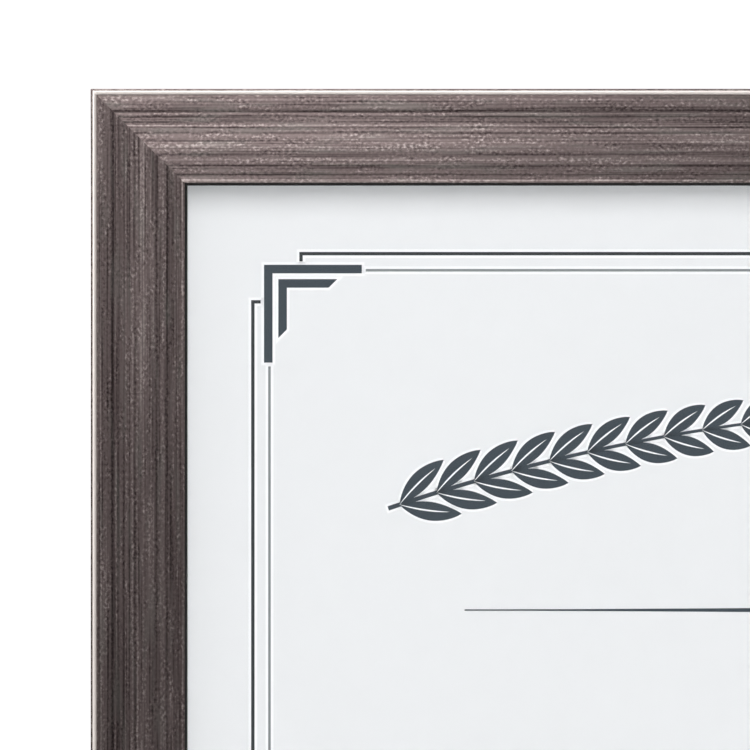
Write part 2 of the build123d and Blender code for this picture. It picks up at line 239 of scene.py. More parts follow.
def makeBlackPlastic():
    material, tree, output = newMaterial("extruded_black_polystyrene")
    uv = addNode(tree, "ShaderNodeUVMap", {"uv_map": "grain"}).outputs["UV"]
    scaled = addNode(tree, "ShaderNodeMapping", {"Scale": [1 / side for side in blackPlastic["line"]]},
                     {"Vector": uv})
    dieLines = addNode(tree, "ShaderNodeTexNoise", {"Scale": 1.0, "Detail": blackPlastic["detail"]},
                       {"Vector": scaled.outputs[0]}).outputs[0]
    colour = addNode(tree, "ShaderNodeMix", {"data_type": "RGBA", 6: linear(blackPlastic["base"]),
                                             7: linear(blackPlastic["rubbed"])}, {0: dieLines})
    low, high = blackPlastic["roughness"]
    roughness = addNode(tree, "ShaderNodeMapRange", {"To Min": low, "To Max": high}, {"Value": dieLines})
    bump = addNode(tree, "ShaderNodeBump",
                   {"Strength": blackPlastic["strength"], "Distance": blackPlastic["depth"] * mm},
                   {"Height": dieLines})
    shader = addNode(tree, "ShaderNodeBsdfPrincipled", {"Specular IOR Level": blackPlastic["specular"]},
                     {"Base Color": colour.outputs[2], "Roughness": roughness.outputs[0],
                      "Normal": bump.outputs[0]})
    tree.links.new(shader.outputs[0], output.inputs[0])
    return material


# Float glass: clear and flat, seen only by what it reflects, more at a glancing angle
floatGlass = {"tint": "#ffffff", "cloud": "#fefefe", "ior": 1.45, "streak": 90.0, "detail": 1.0,
              "roughness": 0.02}


def makeFloatGlass():
    material, tree, output = newMaterial("clear_float_glass")
    place = addNode(tree, "ShaderNodeTexCoord").outputs["Object"]
    streak = addNode(tree, "ShaderNodeTexNoise",
                     {"Scale": 1 / (floatGlass["streak"] * mm), "Detail": floatGlass["detail"]},
                     {"Vector": place}).outputs[0]
    tint = addNode(tree, "ShaderNodeMix", {"data_type": "RGBA", 6: linear(floatGlass["tint"]),
                                           7: linear(floatGlass["cloud"])}, {0: streak})
    clear = addNode(tree, "ShaderNodeBsdfTransparent", links={"Color": tint.outputs[2]})
    gloss = addNode(tree, "ShaderNodeBsdfGlossy", {"Roughness": floatGlass["roughness"]})
    fresnel = addNode(tree, "ShaderNodeFresnel", {"IOR": floatGlass["ior"]})
    backSide = addNode(tree, "ShaderNodeNewGeometry").outputs["Backfacing"]
    frontOnly = addNode(tree, "ShaderNodeMath", {"operation": "SUBTRACT", 0: 1.0}, {1: backSide})
    share = addNode(tree, "ShaderNodeMath", {"operation": "MULTIPLY"},
                    {0: fresnel.outputs[0], 1: frontOnly.outputs[0]})
    mixed = addNode(tree, "ShaderNodeMixShader",
                    links={0: share.outputs[0], 1: clear.outputs[0], 2: gloss.outputs[0]})
    tree.links.new(mixed.outputs[0], output.inputs[0])
    return material


# Hardboard faced with black paper: pebbled faces, scuffed greyer in patches, and brown pressed fibre where
# it was cut. The real pebble is about 0.7 mm, and is drawn coarser so that it shows.
facedBoard = {
    "paper": "#1b1a19", "scuffed": "#3e3c38", "fibre": "#5d4530", "fibreDark": "#3a2a1d",
    "pebble": 1.7, "pebbleDetail": 2.0, "pebbleDepth": 0.16,
    "patch": 30.0, "patchDetail": 3.0, "patchShare": 0.4,
    "levels": (0.34, 0.68), "roughness": (0.55, 0.82), "specular": 0.25,
    "faceLimit": 0.8,  # a face counts as cut edge where its normal and the thickness agree by less
}


def makeFacedBoard(name, thicknessAxis):
    # faces square to the thickness are paper, the rest are cut edges
    material, tree, output = newMaterial(name)
    coordinates = addNode(tree, "ShaderNodeTexCoord")
    pebble, patch = (addNode(tree, "ShaderNodeTexNoise",
                             {"Scale": 1 / (facedBoard[key] * mm), "Detail": facedBoard[key + "Detail"]},
                             {"Vector": coordinates.outputs["Object"]}).outputs[0]
                     for key in ("pebble", "patch"))
    both = addNode(tree, "ShaderNodeMix", {"data_type": "FLOAT", 0: facedBoard["patchShare"]},
                   {2: pebble, 3: patch})
    start, full = facedBoard["levels"]
    scuff = addNode(tree, "ShaderNodeMapRange", {"From Min": start, "From Max": full},
                    {"Value": both.outputs[0]}).outputs[0]
    facing = addNode(tree, "ShaderNodeVectorMath", {"operation": "DOT_PRODUCT", 1: tuple(thicknessAxis)},
                     {0: coordinates.outputs["Normal"]})
    agreement = addNode(tree, "ShaderNodeMath", {"operation": "ABSOLUTE"}, {0: facing.outputs["Value"]})
    onEdge = addNode(tree, "ShaderNodeMath", {"operation": "LESS_THAN", 1: facedBoard["faceLimit"]},
                     {0: agreement.outputs[0]})
    paper = addNode(tree, "ShaderNodeMix", {"data_type": "RGBA", 6: linear(facedBoard["paper"]),
                                            7: linear(facedBoard["scuffed"])}, {0: scuff})
    fibre = addNode(tree, "ShaderNodeMix", {"data_type": "RGBA", 6: linear(facedBoard["fibre"]),
                                            7: linear(facedBoard["fibreDark"])}, {0: scuff})
    colour = addNode(tree, "ShaderNodeMix", {"data_type": "RGBA"},
                     {0: onEdge.outputs[0], 6: paper.outputs[2], 7: fibre.outputs[2]})
    low, high = facedBoard["roughness"]
    roughness = addNode(tree, "ShaderNodeMapRange", {"To Min": low, "To Max": high}, {"Value": scuff})
    bump = addNode(tree, "ShaderNodeBump", {"Strength": 1.0, "Distance": facedBoard["pebbleDepth"] * mm},
                   {"Height": pebble})
    shader = addNode(tree, "ShaderNodeBsdfPrincipled", {"Specular IOR Level": facedBoard["specular"]},
                     {"Base Color": colour.outputs[2], "Roughness": roughness.outputs[0],
                      "Normal": bump.outputs[0]})
    tree.links.new(shader.outputs[0], output.inputs[0])
    return material


# Finishes that only drift between two tones, over grain millimetres
mottled = {
    # smooth writing paper: matt, faintly cloudy where the fibres lie thicker
    "paper": {"name": "smooth_certificate_paper", "base": "#eceef0", "other": "#e8eaec", "grain": 2.5,
              "roughness": (0.7, 0.85), "bumpDepth": 0.004, "specular": 0.2},
    # offset inks: thin and even, a shade less matt than the paper
    "slateInk": {"name": "offset_slate_ink", "base": "#333d45", "other": "#39434b", "grain": 0.8,
                 "roughness": (0.6, 0.75), "specular": 0.2},
    "charcoalInk": {"name": "offset_charcoal_ink", "base": "#282d2f", "other": "#2e3335", "grain": 0.8,
                    "roughness": (0.6, 0.75), "specular": 0.2},
    "greyInk": {"name": "offset_grey_ink", "base": "#7d8284", "other": "#888d90", "grain": 0.8,
                "roughness": (0.6, 0.75), "specular": 0.2},
    # bare stock: whiter than the tinted sheet, a thin line round the print and the veins of its leaves
    "bareStock": {"name": "bare_white_stock", "base": "#fcfdff", "other": "#f6f8fa", "grain": 2.5,
                  "roughness": (0.7, 0.85), "specular": 0.2},
    # greyboard: pulped waste paper, flecked
    "greyboard": {"name": "pressed_greyboard", "base": "#a39c90", "other": "#8d8578", "grain": 1.2,
                  "roughness": (0.85, 0.95), "bumpDepth": 0.03},
    # zinc plate: steel under a dulled, cloudy coat that is slightly blue
    "zinc": {"name": "bright_zinc_plate", "base": "#a9adb0", "other": "#92958f", "grain": 4.0,
             "roughness": (0.30, 0.46), "bumpDepth": 0.01, "metallic": 1.0},
}


def makeMottled(name, base, other, grain, roughness, bumpDepth=0.0, metallic=0.0, specular=0.5, detail=3.0):
    # colour, roughness and height all follow one noise
    material, tree, output = newMaterial(name)
    place = addNode(tree, "ShaderNodeTexCoord").outputs["Object"]
    drift = addNode(tree, "ShaderNodeTexNoise", {"Scale": 1 / (grain * mm), "Detail": detail},
                    {"Vector": place}).outputs[0]
    colour = addNode(tree, "ShaderNodeMix", {"data_type": "RGBA", 6: linear(base), 7: linear(other)},
                     {0: drift})
    low, high = roughness
    rough = addNode(tree, "ShaderNodeMapRange", {"To Min": low, "To Max": high}, {"Value": drift})
    shader = addNode(tree, "ShaderNodeBsdfPrincipled", {"Metallic": metallic, "Specular IOR Level": specular},
                     {"Base Color": colour.outputs[2], "Roughness": rough.outputs[0]})
    if bumpDepth:
        bump = addNode(tree, "ShaderNodeBump", {"Strength": 1.0, "Distance": bumpDepth * mm},
                       {"Height": drift})
        tree.links.new(bump.outputs[0], shader.inputs["Normal"])
    tree.links.new(shader.outputs[0], output.inputs[0])
    return material


finishes = {
    "woodFoil": makeWoodFoil(), "silverFoil": makeSilverFoil(), "blackPlastic": makeBlackPlastic(),
    "glass": makeFloatGlass(),
    "boardBack": makeFacedBoard("black_paper_faced_hardboard", faceOut),
    "boardLeg": makeFacedBoard("black_paper_faced_leg_board", legOut),
    **{key: makeMottled(**settings) for key, settings in mottled.items()},
}
print("finishes made:", len(finishes))


def makePiece(name, points, faces, materials, replaced=None, faceMaterials=None, smoothAngle=None):
    # a finished piece from face millimetres, riding on the frame
    mesh = bpy.data.meshes.new(name)
    mesh.from_pydata(toScene(points).tolist(), [], faces)
    for material in materials:
        mesh.materials.append(finishes[material])
    if faceMaterials is not None:
        mesh.polygons.foreach_set("material_index", np.asarray(faceMaterials, np.int32))
    if smoothAngle is not None:
        mesh.shade_smooth()
        mesh.set_sharp_from_angle(angle=math.radians(smoothAngle))
    mesh.update()
    piece = bpy.data.objects.new(name, mesh)
    bpy.context.scene.collection.objects.link(piece)
    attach(piece, "frame")
    if replaced:
        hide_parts(replaced)
    return piece


# Moulding: widths run inward from the outer edge, heights forward from the rabbet seat
moulding = {
    "rabbet": 5.0, "backSkin": 0.05,
    "beadRadius": 0.52, "beadRise": 2.73, "flank": 0.37,
    "ridge": 2.84, "ridgeBulge": 0.6, "grooveRise": 2.9,
    "shoulderBulge": 0.3, "reeds": 4, "reedPitch": 1.02, "reedBulge": 0.16,
    "crestInset": 9.6, "crestRise": 5.4, "crestRadius": 0.5,
    "slope": 4.55, "slopeBulge": 0.08, "coveDrop": 0.4, "coveSag": 0.2, "lipBead": 0.7, "lipBeadBulge": 0.18,
    "sightChamfer": 0.4, "lip": 2.3,
    "fineStep": 0.085, "plainStep": 1.2, "lengthStep": 1.0, "smoothAngle": 32.0,
}
# Grain: furrows that wander and fade, a dark glaze with painted shade in the valleys and on cut lines,
# painted shade in the hollows and a painted highlight on the lip, the last three by inset. Insets, widths,
# wander and depth in mm.
grainLines = {
    "furrow": {"count": 26, "width": (0.10, 0.20), "wander": 0.10, "strength": 0.4, "swing": 0.9,
               "depth": 0.015},
    # dark glaze along cut lines, with painted shade in the groove, the reed valleys and under the lip's step
    "glazeAndPaintedShade": {"insets": (3.65, 11.0, 12.75, 14.2), "width": (0.18, 0.24), "wander": 0.02, "strength": 0.68,
              "swing": 0.35},
    # painted shade in the hollows: towards the groove, over the reeds and before the cove
    "paintedHollowShade": {"insets": (3.0, 5.0, 13.3), "width": (0.5, 1.0), "wander": 0.0, "strength": 0.25, "swing": 0.15},
    # painted highlight along the lip bead's crown
    "paintedLipHighlight": {"insets": (15.15,), "width": (0.22, 0.26), "wander": 0.0, "strength": 0.45, "swing": 0.2},
    # shortest and longest waves of the two sines that wander and the two that fade, and each one's share
    "waves": ((60, 25, 45, 18), (140, 55, 110, 40)), "waveShares": (0.7, 0.3, 0.6, 0.4),
    "valleyTurn": 25.0,  # degrees that the outline turns in a valley
    "fadePoints": 2,  # outline points over which the grain starts and ends
    "stickShift": 400.0, "seed": 27,
}


def arcPoints(start, end, bulge, step):
    # equal turns about the centre of the arc whose middle stands out by bulge, to the left of the way along
    start, end = np.array(start, float), np.array(end, float)
    chord = np.hypot(*(end - start))
    ahead = (end - start) / chord
    left = np.array((-ahead[1], ahead[0]))
    halfTurn = 2 * math.atan2(2 * bulge, chord)
    radius = chord / (2 * math.sin(halfTurn))
    turns = np.linspace(-halfTurn, halfTurn, max(3, math.ceil(2 * radius * halfTurn / step)) + 1)
    centre = (start + end) / 2 + left * (bulge - radius)
    return centre + radius * (np.outer(np.cos(turns), left) + np.outer(np.sin(turns), ahead))


def linePoints(start, end, step):
    # equal steps on a straight line
    count = max(1, math.ceil(np.hypot(*np.subtract(end, start)) / step))
    return np.linspace(start, end, count + 1)


def wayAlong(line):
    # distance from a line's start to each of its points
    return np.concatenate(([0], np.cumsum(np.hypot(*np.diff(line, axis=0).T))))


def pointsAt(line, way):
    # points of a line at the given distances from its start
    return np.stack([np.interp(way, wayAlong(line), line[:, i]) for i in (0, 1)], axis=-1)


def mouldingSection(width, seat):
    # the section's outline, clockwise from the back of the outer wall, and the finish of each stretch
    m = moulding
    fine, plain = m["fineStep"], m["plainStep"]
    trace = fine / 8  # the shoulder and the slope are traced finer, then cut to length
    beadHeight = seat + m["beadRise"]
    beadEnd = (2 * m["beadRadius"], beadHeight)
    groove = (beadEnd[0] + m["ridge"], seat + m["grooveRise"])
    crest = (m["crestInset"], seat + m["crestRise"])
    lipHeight = seat + m["lip"] + m["sightChamfer"]
    slopeEnd = (m["crestInset"] + m["slope"], lipHeight + m["coveDrop"])
    lipEnd = (width - m["sightChamfer"], lipHeight)
    lipStart = (lipEnd[0] - m["lipBead"], lipHeight)
    sightEdge = (width, seat + m["lip"])
    rabbetWall = width - m["rabbet"]
    bead = arcPoints((0, beadHeight), beadEnd, m["beadRadius"], fine)
    flankCount = np.count_nonzero(bead[:, 0] <= m["flank"])
    shoulder = arcPoints(groove, crest, m["shoulderBulge"], trace)
    slope = arcPoints(crest, slopeEnd, m["slopeBulge"], trace)
    # the crest's corner is rounded, which trims both lines that meet there
    before, after = shoulder[-1] - shoulder[-2], slope[1] - slope[0]
    bend = math.atan2(before[1], before[0]) - math.atan2(after[1], after[0])
    trim = m["crestRadius"] * math.tan(bend / 2)
    crestBulge = m["crestRadius"] * (1 - math.cos(bend / 2))
    bandStart, bandEnd = m["reeds"] * m["reedPitch"], wayAlong(shoulder)[-1] - trim
    slopeLength = wayAlong(slope)[-1]
    band = pointsAt(shoulder, np.linspace(bandStart, bandEnd, math.ceil((bandEnd - bandStart) / fine)))
    fall = pointsAt(slope, np.linspace(trim, slopeLength, math.ceil((slopeLength - trim) / fine)))
    reedEnds = pointsAt(shoulder, np.arange(m["reeds"] + 1) * m["reedPitch"])
    stretches = [
        (linePoints((0, m["backSkin"]), (0, beadHeight), plain), "woodFoil"),
        (bead[:flankCount], "woodFoil"),
        (bead[flankCount - 1:], "silverFoil"),
        (arcPoints(beadEnd, groove, m["ridgeBulge"], fine), "woodFoil"),
        *((arcPoints(start, end, m["reedBulge"], fine), "woodFoil")
          for start, end in zip(reedEnds, reedEnds[1:])),
        (band, "woodFoil"),
        (arcPoints(band[-1], fall[0], crestBulge, fine), "woodFoil"),
        (fall, "woodFoil"),
        (arcPoints(fall[-1], lipStart, -m["coveSag"], fine), "woodFoil"),
        (arcPoints(lipStart, lipEnd, m["lipBeadBulge"], fine), "woodFoil"),
        (linePoints(lipEnd, sightEdge, fine), "blackPlastic"),
        (linePoints(sightEdge, (width, seat), plain), "blackPlastic"),
        (linePoints((width, seat), (rabbetWall, seat), plain), "blackPlastic"),
        (linePoints((rabbetWall, seat), (rabbetWall, m["backSkin"]), plain), "blackPlastic"),
        (linePoints((rabbetWall, m["backSkin"]), (0, m["backSkin"]), plain), "blackPlastic"),
    ]
    outline = np.concatenate([points[:-1] for points, finish in stretches])
    finish = np.concatenate([[finish] * (len(points) - 1) for points, finish in stretches])
    return outline, finish


outline, outlineFinish = mouldingSection(railWidth, rabbetSeat)
outlineNext = np.roll(outline, -1, axis=0)
outlineLast = np.roll(outline, 1, axis=0)
outlineWay = wayAlong(outline)
# the points that lie on the foil, past the bead
foil = np.flatnonzero((outlineFinish == "woodFoil") & (outline[:, 0] > moulding["beadRadius"]))


def outlineNormals():
    # square to the line from each point's last neighbour to its next, outward
    ahead = outlineNext - outlineLast
    return np.stack((-ahead[:, 1], ahead[:, 0]), axis=1) / np.hypot(*ahead.T)[:, None]


def valleyWays():
    # where the foil's outline turns sharply outward, as between two reeds
    before, after = outline - outlineLast, outlineNext - outline
    cross = before[:, 0] * after[:, 1] - before[:, 1] * after[:, 0]
    turn = np.arctan2(cross, np.sum(before * after, axis=1))
    within = foil[1:]
    return outlineWay[within][turn[within] > math.radians(grainLines["valleyTurn"])]


def bellLines(along, rng, places, kind):
    # lengthwise lines, bell-shaped across: each wanders on two sines and is faded by two more
    way = outlineWay[:, None]
    shares = grainLines["waveShares"]
    cover = np.zeros_like(along)
    for place in places:
        waves = rng.uniform(*grainLines["waves"])
        phases = rng.uniform(0, 2 * np.pi, len(waves))
        sines = shares * np.sin(along[..., None] * (2 * np.pi / waves) + phases)
        middle = place + kind["wander"] * (sines[..., 0] + sines[..., 1])
        fade = np.clip(kind["strength"] + kind["swing"] * (sines[..., 2] + sines[..., 3]), 0, 1)
        cover = np.maximum(cover, fade * np.exp(-((way - middle) / rng.uniform(*kind["width"])) ** 2))
    return cover


def grainCovers(along, number):
    # how far furrow, glaze with painted shade, painted hollow shade and painted lip highlight cover each
    # point of one stick
    rng = np.random.default_rng(grainLines["seed"] + number)
    strewn = np.linspace(outlineWay[foil[0]], outlineWay[foil[-1]], grainLines["furrow"]["count"])
    strewn += rng.uniform(-0.5, 0.5, len(strewn)) * (strewn[1] - strewn[0])
    cuts, hollowShadeWays, lipHighlightWays = (np.interp(grainLines[kind]["insets"], outline[foil, 0], outlineWay[foil])
                          for kind in ("glazeAndPaintedShade", "paintedHollowShade", "paintedLipHighlight"))
    places = {"furrow": strewn, "glazeAndPaintedShade": (*valleyWays(), *cuts), "paintedHollowShade": hollowShadeWays, "paintedLipHighlight": lipHighlightWays}
    fade = grainLines["fadePoints"]
    onFoil = np.interp(np.arange(len(outline)), (foil[0], foil[0] + fade, foil[-1] - fade, foil[-1] + 1),
                       (0, 1, 1, 0), 0, 0)
    return [bellLines(along, rng, where, grainLines[kind]) * onFoil[:, None]
            for kind, where in places.items()]


# each stick's length, the ink in its furrows and the painted highlight on its lip, stronger on the rails than
# on the stiles, in order round the frame
rail = {"length": outerWidth, "ink": 0.65, "paintedLipHighlight": 1.0}
stile = {"length": outerHeight, "ink": 0.88, "paintedLipHighlight": 0.5}
sticks = {"bottom_rail": rail, "right_stile": stile, "top_rail": rail, "left_stile": stile}
frameMiddle = np.array((0, outerHeight / 2))


def makeStick(name, number):
    # the section carried along one side, its ends cut at 45 degrees: half length less the inset at each point
    stick = sticks[name]
    length = stick["length"]
    stations = np.linspace(-1, 1, round(length / moulding["lengthStep"]) + 1)
    furrow, glazeAndPaintedShade, paintedHollowShade, paintedLipHighlight = grainCovers((length / 2 - outline[:, :1]) * stations, number)
    depth = grainLines["furrow"]["depth"] * furrow
    section = outline[:, None, :] - outlineNormals()[:, None, :] * depth[..., None]
    inset, height = section[..., 0], section[..., 1]
    along = (length / 2 - inset) * stations
    # quarter turns about the middle of the frame
    angle = math.radians(90 * number)
    ahead = np.array((math.cos(angle), math.sin(angle)))
    inward = np.array((-ahead[1], ahead[0]))
    reach = (outerWidth + outerHeight - length) / 2
    flat = frameMiddle - inward * reach + along[..., None] * ahead + inset[..., None] * inward
    points = np.concatenate((flat, height[..., None]), axis=2).reshape(-1, 3)
    # a quad between each two stations and outline points, and a face on each mitre
    count, rows = len(outline), len(stations)
    index = np.arange(count * rows).reshape(count, rows)
    beyond = np.roll(index, -1, axis=0)
    quads = np.stack((index[:, :-1], index[:, 1:], beyond[:, 1:], beyond[:, :-1]), axis=2).reshape(-1, 4)
    mitres = [index[:, 0].tolist(), index[::-1, -1].tolist()]
    finishNames = ["woodFoil", "silverFoil", "blackPlastic"]
    quadFinish = np.repeat([finishNames.index(finish) for finish in outlineFinish], rows - 1)
    mitreFinish = [finishNames.index("blackPlastic")] * len(mitres)
    piece = makePiece(name + "_moulding", points, quads.tolist() + mitres, finishNames, name,
                      np.concatenate((quadFinish, mitreFinish)), moulding["smoothAngle"])
    # grain runs by UV in mm along and across, and the stick's tone from furrow ink, glaze with painted shade,
    # painted hollow shade and the painted lip highlight is an attribute
    mesh = piece.data
    corner = np.empty(len(mesh.loops), np.int32)
    mesh.loops.foreach_get("vertex_index", corner)
    across = np.repeat(outlineWay[:, None], rows, axis=1)
    spread = np.stack((along + grainLines["stickShift"] * number, across), axis=2).reshape(-1, 2)
    mesh.uv_layers.new(name="grain").data.foreach_set("uv", spread[corner].ravel().astype(np.float32))
    # furrow ink and glaze darken the tone, with painted shade in the valleys, groove, hollows and under the
    # lip's step; the painted lip highlight lightens it
    grainAndPaintedLight = np.maximum(stick["ink"] * furrow, glazeAndPaintedShade) + paintedHollowShade - stick["paintedLipHighlight"] * paintedLipHighlight
    mesh.attributes.new("grainAndPaintedLight", "FLOAT", "POINT").data.foreach_set("value", grainAndPaintedLight.ravel().astype(np.float32))


for number, name in enumerate(sticks):
    makeStick(name, number)
print("moulding made:", len(sticks), "sticks,", len(outline), "points in the section")


# Sheet: it lies on the filler and stops short of the glass, with its print on the front
sheetLayers = {"behind": 0.01, "front": 0.07, "step": 8.0}
sheetFront = sheetHigh[2] - sheetLayers["front"]
sheetMiddle = (sheetLow + sheetHigh)[:2] / 2


def makeSheet():
    # two flat grids of points, front and back, joined round the edge
    columns = np.linspace(sheetLow[0], sheetHigh[0], round(sheetWidth / sheetLayers["step"]))
    rows = np.linspace(sheetLow[1], sheetHigh[1], round(sheetHeight / sheetLayers["step"]))
    x, y = np.meshgrid(columns, rows, indexing="ij")
    levels = (sheetFront, sheetLow[2] + sheetLayers["behind"])
    points = np.concatenate([np.stack((x, y, np.full_like(x, z)), axis=2).reshape(-1, 3) for z in levels])
    index = np.arange(x.size).reshape(x.shape)
    front = np.stack((index[:-1, :-1], index[1:, :-1], index[1:, 1:], index[:-1, 1:]), axis=2).reshape(-1, 4)
    rim = np.concatenate((index[:-1, 0], index[-1, :-1], index[:0:-1, -1], index[0, :0:-1]))
    after = np.roll(rim, -1)
    edge = np.stack((rim, rim + x.size, after + x.size, after), axis=1)
    faces = np.concatenate((front, front[:, ::-1] + x.size, edge)).tolist()
    makePiece("certificate_paper", points, faces, ["paper"], "certificate_sheet")


makeSheet()


def stripSlab(leftEdge, rightEdge, low, high):
    # a thin closed slab between two edge lines: a ring of four points carried along, and a quad at each end
    count = len(leftEdge)
    ring = [np.column_stack((edge, np.full(count, z)))
            for edge, z in ((leftEdge, low), (leftEdge, high), (rightEdge, high), (rightEdge, low))]
    points = np.stack(ring, axis=1).reshape(-1, 3)
    index = np.arange(count * 4).reshape(count, 4)
    beside = np.roll(index, -1, axis=1)
    quads = np.stack((index[:-1], beside[:-1], beside[1:], index[1:]), axis=2).reshape(-1, 4)
    return points, np.concatenate((quads, index[:1, ::-1], index[-1:]))


# heights of the printed layers over the sheet's front, in mm
printLayers = {"keyline": (0.002, 0.010), "ink": (0.010, 0.025), "vein": (0.025, 0.032)}


def printPiece(name, strips, finish, layer):
    # many strips of one ink as one piece
    low, high = printLayers[layer]
    points, faces, start = [], [], 0
    for leftEdge, rightEdge in strips:
        slabPoints, slabFaces = stripSlab(leftEdge, rightEdge, sheetFront + low, sheetFront + high)
        points.append(slabPoints)
        faces.append(slabFaces + start)
        start += len(slabPoints)
    makePiece(name, np.concatenate(points), np.concatenate(faces).tolist(), [finish])


def pathEdges(path, halfWidth):
    # both edges of a line of even width, mitred at its corners
    path = np.array(path, float)
    ahead = np.diff(path, axis=0)
    normal = np.stack((-ahead[:, 1], ahead[:, 0]), axis=1) / np.hypot(*ahead.T)[:, None]
    first, second = np.concatenate((normal[:1], normal)), np.concatenate((normal, normal[-1:]))
    shift = (first + second) / (1 + np.sum(first * second, axis=1))[:, None] * halfWidth
    return path + shift, path - shift


# Border: a broken outer line, a fine inner line and two brackets in each corner, mm from the outer line
border = {
    "sideInset": 15.01, "topInset": 15.445, "line": 0.56, "cornerGap": 8.03, "tick": 1.3,
    "fineInset": 2.77, "fineStart": 18.8, "fineLine": 0.42,
    "brackets": (
        {"inset": 1.86, "bar": 1.42, "arm": 16.3, "cut": 0},
        {"inset": 4.25, "bar": 1.42, "arm": 9.8, "cut": 1},
    ),
    "keyline": 0.45,
}
borderHalf = np.array((sheetWidth / 2 - border["sideInset"], sheetHeight / 2 - border["topInset"]))


def bracketEdges(bracket, grow):
    # outer and inner edge of a corner bracket, from the foot up and then along;
    # its ends are cut square (0) or at 45 degrees (1)
    endGrow = grow * math.sqrt(2) if bracket["cut"] else grow
    edges = []
    for depth in (-grow, bracket["bar"] + grow):
        near = bracket["inset"] + depth
        far = bracket["inset"] + bracket["arm"] + endGrow - bracket["cut"] * depth
        edges.append(np.array(((near, far), (near, near), (far, near))))
    return edges


def cornerBrackets(grow):
    # both brackets at the four corners, mirrored about the middle of the sheet
    strips = []
    for across, up in ((-1, -1), (-1, 1), (1, -1), (1, 1)):
        for bracket in border["brackets"]:
            placed = [sheetMiddle + (borderHalf - edge) * (across, up)
                      for edge in bracketEdges(bracket, grow)]
            strips.append(placed if across * up < 0 else placed[::-1])
    return strips


def onEachSide(topPath, halfWidth):
    # a line that topPath gives for the top side, by the border's half width and height, turned to all four
    strips = []
    for side in range(4):
        reach, height = borderHalf if side % 2 == 0 else borderHalf[::-1]
        angle = math.radians(-90 * side)
        spin = np.array(((math.cos(angle), math.sin(angle)), (-math.sin(angle), math.cos(angle))))
        strips.append(pathEdges(sheetMiddle + np.array(topPath(reach, height)) @ spin, halfWidth))
    return strips


def outerLines(grow):
    # the broken outer line, with a tick at each end
    def topPath(reach, height):
        end = reach - border["cornerGap"]
        tick = height - border["tick"] - grow
        return (-end, tick), (-end, height), (end, height), (end, tick)
    return onEachSide(topPath, border["line"] / 2 + grow)


def fineLines(grow):
    # the fine inner line, between the brackets' ends
    def topPath(reach, height):
        end = reach - border["fineStart"] + grow
        return (-end, height - border["fineInset"]), (end, height - border["fineInset"])
    return onEachSide(topPath, border["fineLine"] / 2 + grow)


printPiece("border_slate_brackets", cornerBrackets(0), "slateInk", "ink")
printPiece("border_outer_line", outerLines(0), "charcoalInk", "ink")
printPiece("border_fine_line", fineLines(0), "greyInk", "ink")
keylineStrips = [strip for lines in (cornerBrackets, outerLines, fineLines)
                 for strip in lines(border["keyline"])]
printPiece("border_white_keyline", keylineStrips, "bareStock", "keyline")

# Ornament: two leafy sprays on an arch over a swelled rule, with plain writing rules below, in mm and degrees
ornament = {
    "arch": {"radius": 315.0, "crown": 186.8, "reach": 104.0, "gap": 5.0},
    "stem": {"widths": (0.75, 0.3), "stations": 60},
    "leaf": {"pitch": 6.6, "lengths": (10.5, 7.0), "half": 1.55, "turn": 34.0, "unbend": 0.45,
             "fullness": 0.85, "tip": 0.01, "stations": 15, "first": 2.0, "last": 6.0},
    "vein": {"half": 0.13, "share": 0.8},
    "keyline": 0.4,
    "rule": {"height": 152.85, "reach": 89.4, "halves": (0.12, 0.5), "stations": 61},
    "lozenge": {"length": 4.2, "height": 1.9, "tip": 0.02},
    "writing": {"half": 0.16, "lines": ((118.0, -86.0, 86.0), (58.0, -98.0, -30.0), (58.0, 30.0, 98.0))},
}


def onArch(way):
    # a point and the way ahead on the arch, by the distance from its crown
    arch = ornament["arch"]
    angle = np.asarray(way) / arch["radius"]
    point = np.stack((np.sin(angle), np.cos(angle) - 1), axis=-1) * arch["radius"] + (0, arch["crown"])
    return point, np.stack((np.cos(angle), -np.sin(angle)), axis=-1)


def leafEdges(base, ahead, turn, length, half, grow):
    # a pointed leaf: half width is a sine over its length, on an axis that bends back towards the stem
    leaf = ornament["leaf"]
    share = np.linspace(0, 1, leaf["stations"])
    angle = math.radians(turn) * (1 - leaf["unbend"] * share)
    step = np.stack((np.cos(angle), np.sin(angle)), axis=1) * length / (leaf["stations"] - 1)
    spine = np.concatenate((np.zeros((1, 2)), np.cumsum(step[:-1], axis=0)))
    spread = half * np.sin(np.pi * share) ** leaf["fullness"] + grow + leaf["tip"]
    normal = np.stack((-np.sin(angle), np.cos(angle)), axis=1)
    spin = np.array((ahead, (-ahead[1], ahead[0])))
    return [base + (spine + side * normal * spread[:, None]) @ spin for side in (1, -1)]


def leafStrips(half, share, grow):
    # leaves in pairs along the left spray, shorter towards the crown; a share of the length makes their veins
    leaf, arch = ornament["leaf"], ornament["arch"]
    first, last = -arch["reach"], -arch["gap"]
    count = round((last - first) / leaf["pitch"])
    strips = []
    for number, way in enumerate(np.linspace(first + leaf["first"], last - leaf["last"], count)):
        base, ahead = onArch(way)
        length = share * np.interp(number, (0, count - 1), leaf["lengths"])
        strips += [leafEdges(base, ahead, turn, length, half, grow) for turn in (leaf["turn"], -leaf["turn"])]
    return strips


def stemStrip(grow):
    # the left spray's stem, tapering towards the crown
    stem, arch = ornament["stem"], ornament["arch"]
    point, ahead = onArch(np.linspace(-arch["reach"] - grow, -arch["gap"] + grow, stem["stations"]))
    half = np.linspace(*stem["widths"], stem["stations"])[:, None] / 2 + grow
    normal = np.stack((-ahead[:, 1], ahead[:, 0]), axis=1)
    return [point + normal * half, point - normal * half]


def withMirrored(strips):
    # the strips and their mirror images to the right of the middle
    return strips + [[rightEdge * (-1, 1), leftEdge * (-1, 1)] for leftEdge, rightEdge in strips]


